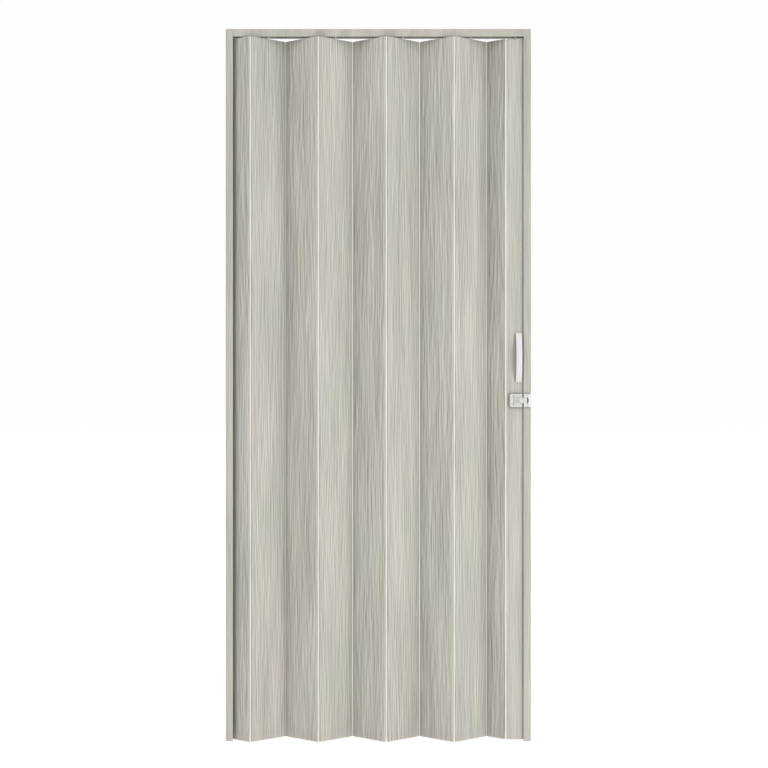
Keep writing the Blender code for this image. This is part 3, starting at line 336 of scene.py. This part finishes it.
def math_node(tree, operation, first, second=0.0):
    """A Math node's result."""
    node = add(tree, "ShaderNodeMath", {"operation": operation})
    plug(tree, node.inputs[0], first)
    plug(tree, node.inputs[1], second)
    return node.outputs[0]


def total(tree, first, *others):
    """The sum of values."""
    for value in others:
        first = math_node(tree, "ADD", first, value)
    return first


def vector_node(tree, operation, first, second, output="Vector"):
    """A Vector Math node's result."""
    node = add(tree, "ShaderNodeVectorMath", {"operation": operation})
    plug(tree, node.inputs[0], first)
    plug(tree, node.inputs[1], second)
    return node.outputs[output]


def object_place(tree):
    """A point's place in the door at rest, which stays with its piece in every pose."""
    return add(tree, "ShaderNodeTexCoord").outputs["Object"]


def along(tree, vector, axis):
    """A vector's share along X, Y or Z."""
    return add(tree, "ShaderNodeSeparateXYZ", Vector=vector).outputs[axis]


def facing(tree, axis):
    """How squarely a face looks along an axis, either way: 1 when it does, and 0 across it."""
    normal = add(tree, "ShaderNodeTexCoord").outputs["Normal"]
    return math_node(tree, "ABSOLUTE", along(tree, normal, axis))


def noise(tree, place, scale, detail=2.0, roughness=0.5, offset=0.0, output="Fac"):
    """A noise texture's result, with its own scale along each axis."""
    moved = vector_node(tree, "ADD", place, (offset, offset, offset))
    scaled = vector_node(tree, "MULTIPLY", moved, scale)
    node = add(tree, "ShaderNodeTexNoise", Vector=scaled, Scale=1.0, Detail=detail, Roughness=roughness)
    return node.outputs[output]


def remap(tree, value, low, high, to_low=0.0, to_high=1.0):
    """Map a value's range to another, clamped."""
    node = tree.nodes.new("ShaderNodeMapRange")
    plug(tree, node.inputs["Value"], value)
    plug(tree, node.inputs["From Min"], low)
    plug(tree, node.inputs["From Max"], high)
    plug(tree, node.inputs["To Min"], to_low)
    plug(tree, node.inputs["To Max"], to_high)
    return node.outputs["Result"]


def between(tree, value, low, high, edge):
    """1 where a value lies between two limits, and 0 outside, with soft edges."""
    above = remap(tree, value, low - edge, low + edge)
    below = remap(tree, value, high - edge, high + edge, 1.0, 0.0)
    return math_node(tree, "MULTIPLY", above, below)


def mix_colour(tree, factor, first, second, blend="MIX"):
    """Mix two colours, each a socket or three numbers.

    The node's sockets have the same names for every kind of data, so they are told by number.
    """
    node = add(tree, "ShaderNodeMix", {"data_type": "RGBA", "blend_type": blend})
    plug(tree, node.inputs[MIX_FACTOR], factor)
    for number, value in ((MIX_FIRST, first), (MIX_SECOND, second)):
        plug(tree, node.inputs[number], (*value, 1.0) if isinstance(value, tuple) else value)
    return node.outputs[MIX_RESULT]


def times_grey(tree, colour, level):
    """Multiply a colour by a level of grey."""
    grey = add(tree, "ShaderNodeCombineXYZ", X=level, Y=level, Z=level)
    return mix_colour(tree, 1.0, colour, grey.outputs[0], "MULTIPLY")


def bump(tree, shader, height, strength, depth):
    """Feed a height into the shader's normal."""
    node = add(tree, "ShaderNodeBump", Strength=strength, Distance=depth, Height=height)
    tree.links.new(node.outputs["Normal"], shader.inputs["Normal"])


def openness(tree, reach):
    """How open a place is: 1 on open ground, 0 in a closed corner."""
    node = add(tree, "ShaderNodeAmbientOcclusion", {"samples": OPENNESS_SAMPLES}, Distance=reach)
    return node.outputs["AO"]


def worn_and_highlit_edges(tree, colour):
    """Blend to a pale colour along open edges: partly wear, as rubbing does, and partly painted
    highlight.
    """
    exposed = remap(tree, openness(tree, SHADE_REACH), *PALE_EDGE_OPENNESS, 0.0, PALE_EDGE_STRENGTH)
    bevel = add(tree, "ShaderNodeBevel", {"samples": BEVEL_SAMPLES}, Radius=PALE_EDGE_RADIUS)
    normal = add(tree, "ShaderNodeNewGeometry").outputs["Normal"]
    alike = vector_node(tree, "DOT_PRODUCT", bevel.outputs["Normal"], normal, "Value")
    edge = math_node(tree, "MULTIPLY", remap(tree, alike, *PALE_EDGE_ALIKE), exposed)
    return mix_colour(tree, edge, colour, PALE_EDGE)


def painted_crevice_shade(tree, colour, reach, depth, least_open=0.0, weight=None):
    """Darken a colour with painted shade where surfaces stand close, where contact shade falls.

    The depth is what a fully closed corner would lose. Places less open than the least lose no more.
    A weight from 0 to 1 fades the shade.
    """
    darkest = 1.0 - depth * (1.0 - least_open)
    level = remap(tree, openness(tree, reach), least_open, 1.0, darkest, 1.0)
    shaded = times_grey(tree, colour, level)
    if weight is None:
        return shaded
    return mix_colour(tree, weight, colour, shaded)


def fine_lines(tree, place):
    """Fine upright printed lines, from about -0.5 to 0.5.

    Each is the difference of two readings of one noise, side by side, so pale and dark alternate.
    Faces that look sideways count their lines mostly along Y, and all others mostly along X.
    """
    turned = math_node(tree, "GREATER_THAN", facing(tree, "X"), SIDEWAYS_FROM)
    front_side = vector_node(tree, "DOT_PRODUCT", place, FRONT_WAY, "Value")
    turned_side = vector_node(tree, "DOT_PRODUCT", place, SIDEWAYS_WAY, "Value")
    side = remap(tree, turned, 0.0, 1.0, front_side, turned_side)
    height = along(tree, place, "Z")
    readings = []
    for shift in (0.0, LINE_SPACING):
        across = math_node(tree, "ADD", side, shift)
        spot = add(tree, "ShaderNodeCombineXYZ", X=across, Y=height, Z=LINE_DEPTH).outputs[0]
        readings.append(noise(tree, spot, LINE_SCALE, detail=1.0))
    return math_node(tree, "SUBTRACT", *readings)


def printed_grain(tree, place, lightness, contrast):
    """The print's colour, its fine lines and its pores.

    Soft patches lean to pink, green or blue grey. Over them lie fine pale and dark streaks that
    wander a little, and short pores.
    """
    sway = noise(tree, place, SWAY_SCALE, output="Color")
    sway = vector_node(tree, "SUBTRACT", sway, NOISE_MIDDLE)
    wavy = vector_node(tree, "ADD", place, vector_node(tree, "MULTIPLY", sway, SWAY_REACH))

    patch = noise(tree, wavy, PATCH_SCALE)
    cool = noise(tree, wavy, COOL_SCALE, detail=1.0, offset=COOL_OFFSET)
    tint = mix_colour(tree, remap(tree, patch, *GREEN_RANGE), GREENISH, PLAIN)
    tint = mix_colour(tree, remap(tree, patch, *PINK_RANGE), tint, PINKISH)
    tint = mix_colour(tree, remap(tree, cool, *COOL_RANGE), tint, BLUISH)

    bands = noise(tree, wavy, BAND_SCALE, offset=BAND_OFFSET)
    lines = fine_lines(tree, wavy)
    pores = noise(tree, wavy, PORE_SCALE, offset=PORE_OFFSET)
    height = along(tree, place, "Z")
    tone = total(
        tree,
        remap(tree, bands, *BAND_RANGE, -BAND_DEPTH, BAND_DEPTH),
        math_node(tree, "MULTIPLY", lines, contrast),
        remap(tree, pores, *PORE_RANGE, 0.0, -PORE_DEPTH),
        lightness,
        # Painted shade towards the top and painted light at the foot
        remap(tree, height, 0.0, TOP_Z, PAINTED_HEIGHT_SHADE, -PAINTED_HEIGHT_SHADE),
        remap(tree, height, 0.0, FOOT_Z, PAINTED_FOOT_LIGHT, 0.0))
    return times_grey(tree, tint, tone), lines, pores


def sawn_ends(tree, place, colour, cut_axis):
    """Show the plain plastic where a profile is cut, on faces that look along its cut axis."""
    cut = math_node(tree, "GREATER_THAN", facing(tree, cut_axis), CUT_FROM)
    marks = noise(tree, place, CORE_SCALE)
    core = mix_colour(tree, remap(tree, marks, *CORE_RANGE), CORE_DARK, CORE_LIGHT)
    return mix_colour(tree, cut, colour, core)


def mitre_line(tree, place, colour):
    """Draw the pale edge of the mitre between the left jamb and the rail."""
    side = along(tree, place, "X")
    off = math_node(tree, "ABSOLUTE", total(tree, side, MITRE_SUM, along(tree, place, "Z")))
    near = remap(tree, off, *MITRE_LINE, 0.0, MITRE_STRENGTH)
    at_corner = between(tree, side, MITRE_LEFT, MITRE_RIGHT, MARK_EDGE)
    return mix_colour(tree, math_node(tree, "MULTIPLY", near, at_corner), colour, PALE_EDGE)


def painted_shade_round_fittings(tree, place, colour, fittings_y):
    """Paint shade on the outer face round the fittings, softly and in a close contact line."""
    at_height = between(tree, along(tree, place, "Z"), FITTINGS_LOW, FITTINGS_HIGH, FITTINGS_EDGE)
    off_middle = math_node(tree, "ABSOLUTE", along(tree, place, "Y"))
    on_face = remap(tree, off_middle, fittings_y - FACE_START, fittings_y - FACE_FULL)
    near = math_node(tree, "MULTIPLY", at_height, on_face)
    colour = painted_crevice_shade(tree, colour, *FITTINGS_SHADE, weight=near)
    return painted_crevice_shade(tree, colour, *CONTACT_SHADE, weight=near)


def wood_material(name, lightness, shade, least_open=0.0, contrast=0.90, cut_axis="Z", fittings_y=None,
                  has_painted_light_tongue=False):
    """PVC with a printed wood grain that runs upright, as on the rail in the photograph too.

    Its edges are pale, partly worn and partly painted highlight, and its corners take painted shade, but
    not at the floor. Where fittings sit on it, a dark line of painted contact shade runs round them on
    that face, and the tongue inside the jamb is painted paler, as painted light, with no painted shade.
    """
    material, tree, shader = new_material(name)
    place = object_place(tree)
    colour, lines, pores = printed_grain(tree, place, lightness, contrast)
    colour = sawn_ends(tree, place, colour, cut_axis)
    colour = worn_and_highlit_edges(tree, colour)
    colour = mitre_line(tree, place, colour)
    off_floor = remap(tree, along(tree, place, "Z"), 0.0, FOOT_Z)
    shaded = painted_crevice_shade(tree, colour, SHADE_REACH, shade, least_open, weight=off_floor)
    if fittings_y is not None:
        shaded = painted_shade_round_fittings(tree, place, shaded, fittings_y)
    # Painted light: the tongue inside the jamb is painted paler and keeps none of the painted shade
    if has_painted_light_tongue:
        tongue = remap(tree, along(tree, place, "X"), TONGUE_X - MARK_EDGE, TONGUE_X + MARK_EDGE)
        shaded = mix_colour(tree, tongue, shaded, times_grey(tree, colour, TONGUE_PAINTED_LIGHT))
    tree.links.new(shaded, shader.inputs["Base Color"])

    tree.links.new(remap(tree, lines, *LINE_RANGE, *WOOD_ROUGHNESS), shader.inputs["Roughness"])
    line_relief = remap(tree, lines, *LINE_RANGE)
    pore_relief = remap(tree, pores, *PORE_RELIEF_RANGE, 0.0, PORE_RELIEF)
    bump(tree, shader, total(tree, line_relief, pore_relief), *WOOD_BUMP)
    return material


def soft_material(name, low, high, glow, has_painted_side_shade=True):
    """Soft PVC strips: pale, faint draw lines, painted shade beside the unshaded middle, painted glow."""
    material, tree, shader = new_material(name)
    place = object_place(tree)
    lines = noise(tree, place, SOFT_LINE_SCALE)
    clouds = noise(tree, place, SOFT_CLOUD_SCALE, detail=3.0)
    colour = mix_colour(tree, remap(tree, clouds, *SOFT_CLOUD_RANGE), low, high)
    if has_painted_side_shade:
        from_fold = math_node(tree, "SUBTRACT", along(tree, place, "X"), FOLD_X)
        off = math_node(tree, "PINGPONG", from_fold, FOLD_PITCH / 2)
        painted_side_shade = remap(tree, off, UNSHADED_HALF, UNSHADED_HALF + MARK_EDGE)
        colour = mix_colour(tree, painted_side_shade, colour, WEB_PAINTED_SHADE)
    # Painted shade where surfaces stand close, and a glow that is painted light
    tree.links.new(painted_crevice_shade(tree, colour, *SOFT_SHADE), shader.inputs["Base Color"])
    tree.links.new(colour, shader.inputs["Emission Color"])
    shader.inputs["Emission Strength"].default_value = glow
    tree.links.new(remap(tree, lines, *SOFT_LINE_RANGE, *SOFT_ROUGHNESS), shader.inputs["Roughness"])
    shader.inputs["Subsurface Weight"].default_value = SOFT_SUBSURFACE
    shader.inputs["Subsurface Radius"].default_value = SOFT_SUBSURFACE_RADIUS
    bump(tree, shader, lines, *SOFT_BUMP)
    return material


def warm_ends(tree, place, colour):
    """Blend to a warmer white at the handle's two ends."""
    from_middle = math_node(tree, "SUBTRACT", along(tree, place, "Z"), HANDLE_MIDDLE)
    off = math_node(tree, "ABSOLUTE", from_middle)
    return mix_colour(tree, remap(tree, off, HANDLE_END, HANDLE_END + HANDLE_FADE), colour, WARM_WHITE)


def between_ribs(tree, place):
    """1 in the bowed, slanted grooves between the thumb piece's ribs, and 0 elsewhere."""
    side = math_node(tree, "SUBTRACT", along(tree, place, "X"), RIB_MIDDLE_X)
    share = math_node(tree, "DIVIDE", side, RIB_HALF)
    droop = math_node(tree, "MULTIPLY", math_node(tree, "MULTIPLY", share, share), RIB_BOW)
    rise = math_node(tree, "MULTIPLY", side, RIB_SLOPE)
    line = math_node(tree, "SUBTRACT", total(tree, rise, RIB_MIDDLE_Z + RIB_BOW), droop)
    off = math_node(tree, "SUBTRACT", along(tree, place, "Z"), line)
    from_groove = math_node(tree, "PINGPONG", off, RIB_PITCH / 2)
    groove = remap(tree, from_groove, RIB_PITCH * GROOVE_SHADE_FULL, RIB_PITCH * GROOVE_SHADE_END, 1.0, 0.0)
    in_length = between(tree, side, -RIB_HALF, RIB_HALF, RIB_END_EDGE)
    in_height = between(tree, off, -RIB_SPREAD, RIB_SPREAD, RIB_LEVEL_EDGE)
    return math_node(tree, "MULTIPLY", groove, math_node(tree, "MULTIPLY", in_length, in_height))


def moulded_material(name, low, high, roughness=0.42, subsurface=0.0, has_painted_groove_shade=False,
                     has_warm_ends=False):
    """Moulded plastic: faint flow clouds, fine spark texture and a few handling marks."""
    material, tree, shader = new_material(name)
    place = object_place(tree)
    clouds = noise(tree, place, FLOW_SCALE, detail=3.0)
    spark = noise(tree, place, SPARK_SCALE, detail=1.0)
    marks = noise(tree, place, HANDLING_SCALE, detail=4.0, roughness=0.7)
    colour = mix_colour(tree, remap(tree, clouds, *FLOW_RANGE), low, high)
    if has_warm_ends:
        colour = warm_ends(tree, place, colour)
    # Painted shade in the grooves between the ribs
    if has_painted_groove_shade:
        colour = mix_colour(tree, between_ribs(tree, place), colour, RIB_GROOVE_PAINTED_SHADE)
    # Painted shade where surfaces stand close
    tree.links.new(painted_crevice_shade(tree, colour, *MOULDED_SHADE), shader.inputs["Base Color"])
    gloss = total(tree, remap(tree, marks, *HANDLING_RANGE, 0.0, HANDLING_ROUGHNESS), roughness)
    tree.links.new(gloss, shader.inputs["Roughness"])
    shader.inputs["Subsurface Weight"].default_value = subsurface
    shader.inputs["Subsurface Radius"].default_value = MOULDED_SUBSURFACE_RADIUS
    bump(tree, shader, spark, *SPARK_BUMP)
    return material


def steel_material(name, has_thread=False):
    """Zinc-plated steel: cool grey with faint yellow clouds, and fine turning marks or a thread."""
    material, tree, shader = new_material(name)
    place = object_place(tree)
    clouds = noise(tree, place, ZINC_SCALE, detail=3.0)
    turning = noise(tree, place, TURNING_SCALE)
    colour = mix_colour(tree, remap(tree, clouds, *ZINC_RANGE), ZINC_COOL, ZINC_YELLOWISH)
    tree.links.new(colour, shader.inputs["Base Color"])
    shader.inputs["Metallic"].default_value = 1.0
    tree.links.new(remap(tree, turning, *TURNING_RANGE, *STEEL_ROUGHNESS), shader.inputs["Roughness"])
    if has_thread:
        flanks = math_node(tree, "PINGPONG", along(tree, place, "Z"), THREAD_PITCH / 2)
        bump(tree, shader, math_node(tree, "DIVIDE", flanks, THREAD_PITCH / 2), *THREAD_BUMP)
    else:
        bump(tree, shader, turning, *TURNING_BUMP)
    return material


def link_new(name, data):
    """A new object in the scene."""
    item = bpy.data.objects.new(name, data)
    bpy.context.scene.collection.objects.link(item)
    return item


def cross_recess(screw, inward, body):
    """Cut a cross into a screw head that faces -inward along Y; the cutter stays hidden."""
    corners = [screw.matrix_world @ Vector(corner) for corner in screw.bound_box]
    low = [min(corner[axis] for corner in corners) for axis in range(3)]
    high = [max(corner[axis] for corner in corners) for axis in range(3)]
    middle_x = (low[0] + high[0]) / 2
    middle_z = (low[2] + high[2]) / 2
    face_y = low[1] if inward > 0 else high[1]
    span, arm = RECESS_SPAN, RECESS_ARM
    outline = [(span, arm), (arm, arm), (arm, span), (-arm, span), (-arm, arm), (-span, arm),
               (-span, -arm), (-arm, -arm), (-arm, -span), (arm, -span), (arm, -arm), (span, -arm)]
    rings = [(face_y - inward * RECESS_ABOVE, 1.0), (face_y + inward * RECESS_DEPTH, RECESS_FLOOR)]
    points = [(middle_x + x * scale, y, middle_z + z * scale) for y, scale in rings for x, z in outline]
    count = len(outline)
    sides = [(i, (i + 1) % count, count + (i + 1) % count, count + i) for i in range(count)]
    ends = [tuple(range(count))[::-1], tuple(range(count, 2 * count))]
    data = bpy.data.meshes.new("cross_cutter")
    data.from_pydata(points, [], sides + ends)
    shell = bmesh.new()
    shell.from_mesh(data)
    bmesh.ops.recalc_face_normals(shell, faces=shell.faces)
    shell.to_mesh(data)
    shell.free()
    cutter = link_new("cross_cutter", data)
    cutter.hide_render = True
    cutter.display_type = "WIRE"
    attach(cutter, body)
    cut = screw.modifiers.new("recess", "BOOLEAN")
    cut.operation = "DIFFERENCE"
    cut.solver = "EXACT"
    cut.object = cutter


def smoothing_group():
    """Geometry nodes that weld a node's facets and shade its round surfaces smooth."""
    group = bpy.data.node_groups.new("smooth_by_angle", "GeometryNodeTree")
    group.interface.new_socket("Geometry", in_out="INPUT", socket_type="NodeSocketGeometry")
    group.interface.new_socket("Geometry", in_out="OUTPUT", socket_type="NodeSocketGeometry")
    start = group.nodes.new("NodeGroupInput")
    end = group.nodes.new("NodeGroupOutput")
    plain = add(group, "GeometryNodeRemoveAttribute", Name="custom_normal", Geometry=start.outputs[0])
    weld = add(group, "GeometryNodeMergeByDistance", Geometry=plain.outputs[0], Distance=WELD_DISTANCE)
    smooth = add(group, "GeometryNodeSetShadeSmooth", {"domain": "FACE"}, Geometry=weld.outputs[0],
                 Shade_Smooth=True)
    angle = group.nodes.new("GeometryNodeInputMeshEdgeAngle").outputs["Unsigned Angle"]
    sharp = math_node(group, "GREATER_THAN", angle, math.radians(SMOOTH_ANGLE))
    crease = add(group, "GeometryNodeSetShadeSmooth", {"domain": "EDGE"}, Geometry=smooth.outputs[0],
                 Selection=sharp, Shade_Smooth=False)
    group.links.new(crease.outputs[0], end.inputs[0])
    return group


def paint(item, material, smoothing):
    """Give a CAD node one material and smooth shading."""
    item.data.materials.clear()
    item.data.materials.append(material)
    modifier = item.modifiers.new("smooth", "NODES")
    modifier.node_group = smoothing


def dress(nodes, rows):
    """Give each CAD node its screw recess, its material and smooth shading."""
    smoothing = smoothing_group()
    materials = {}
    for make, looks in ((wood_material, WOODS), (soft_material, SOFTS), (moulded_material, MOULDED),
                        (steel_material, STEELS)):
        for name, settings in looks.items():
            materials[name] = make(name, **settings)
    for row in rows:
        node = row["node"]
        slot = row["material_slot"]
        if node in CROSS_SCREWS:
            cross_recess(nodes[node], *CROSS_SCREWS[node])
        name = OWN_MATERIALS.get(node, SLOT_MATERIALS.get(slot, slot))
        paint(nodes[node], materials[name], smoothing)


def make_camera():
    """The photographed view."""
    data = bpy.data.cameras.new("camera")
    data.sensor_width = CAMERA_SENSOR
    data.lens = CAMERA_LENS
    data.shift_x = CAMERA_SHIFT_X
    data.shift_y = CAMERA_SHIFT_Y
    data.clip_end = CAMERA_REACH
    camera = link_new("camera", data)
    camera.location = CAMERA_PLACE
    camera.rotation_euler = (math.pi / 2, 0, 0)
    bpy.context.scene.camera = camera


def make_lamp(name, place, target, side, power):
    """A soft box that faces its target."""
    data = bpy.data.lights.new(name, "AREA")
    data.shape = "SQUARE"
    data.size = side
    data.energy = power
    lamp = link_new(name, data)
    lamp.location = place
    lamp.rotation_euler = (Vector(target) - Vector(place)).to_track_quat("-Z", "Y").to_euler()


def make_world():
    """Even pale light, seen as a white background by the camera and in gloss."""
    world = bpy.data.worlds.new("studio")
    world.use_nodes = True
    bpy.context.scene.world = world
    tree = world.node_tree
    background = tree.nodes["Background"]
    path = tree.nodes.new("ShaderNodeLightPath")
    seen = math_node(tree, "MAXIMUM", path.outputs["Is Camera Ray"], path.outputs["Is Glossy Ray"])
    seen = math_node(tree, "MAXIMUM", seen, path.outputs["Is Transmission Ray"])
    background.inputs["Color"].default_value = WHITE
    strength = remap(tree, seen, 0.0, 1.0, AMBIENT_STRENGTH, BACKDROP_STRENGTH)
    tree.links.new(strength, background.inputs["Strength"])


def make_floor():
    """White floor that keeps a faint shadow of the door."""
    half = FLOOR_HALF
    corners = [(-half, -half, 0), (half, -half, 0), (half, half, 0), (-half, half, 0)]
    data = bpy.data.meshes.new("floor")
    data.from_pydata(corners, [], [(0, 1, 2, 3)])
    floor = link_new("floor", data)
    material = bpy.data.materials.new("floor_white")
    material.use_nodes = True
    tree = material.node_tree
    tree.nodes.clear()
    real = add(tree, "ShaderNodeBsdfDiffuse", Color=FLOOR_COLOUR)
    shade = add(tree, "ShaderNodeBsdfDiffuse", Color=FLOOR_SEEN_COLOUR)
    glow = add(tree, "ShaderNodeEmission", Strength=FLOOR_SEEN_GLOW)
    seen = add(tree, "ShaderNodeAddShader")
    tree.links.new(shade.outputs[0], seen.inputs[0])
    tree.links.new(glow.outputs[0], seen.inputs[1])
    path = tree.nodes.new("ShaderNodeLightPath")
    by_eye = math_node(tree, "MAXIMUM", path.outputs["Is Camera Ray"], path.outputs["Is Glossy Ray"])
    mix = add(tree, "ShaderNodeMixShader", Fac=by_eye)
    tree.links.new(real.outputs[0], mix.inputs[1])
    tree.links.new(seen.outputs[0], mix.inputs[2])
    output = tree.nodes.new("ShaderNodeOutputMaterial")
    tree.links.new(mix.outputs[0], output.inputs["Surface"])
    data.materials.append(material)


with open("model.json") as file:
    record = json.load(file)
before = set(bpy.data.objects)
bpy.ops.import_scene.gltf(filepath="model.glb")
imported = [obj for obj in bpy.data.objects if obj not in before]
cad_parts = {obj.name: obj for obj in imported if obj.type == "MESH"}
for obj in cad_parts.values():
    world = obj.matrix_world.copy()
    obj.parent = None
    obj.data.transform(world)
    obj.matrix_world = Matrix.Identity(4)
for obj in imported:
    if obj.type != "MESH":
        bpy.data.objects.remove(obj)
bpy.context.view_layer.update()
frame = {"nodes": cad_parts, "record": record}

dress(frame["nodes"], frame["record"]["subparts"])
make_camera()
make_world()
make_floor()
for lamp_name, lamp in LAMPS.items():
    make_lamp(lamp_name, *lamp)
bpy.context.scene.view_settings.view_transform = "Standard"
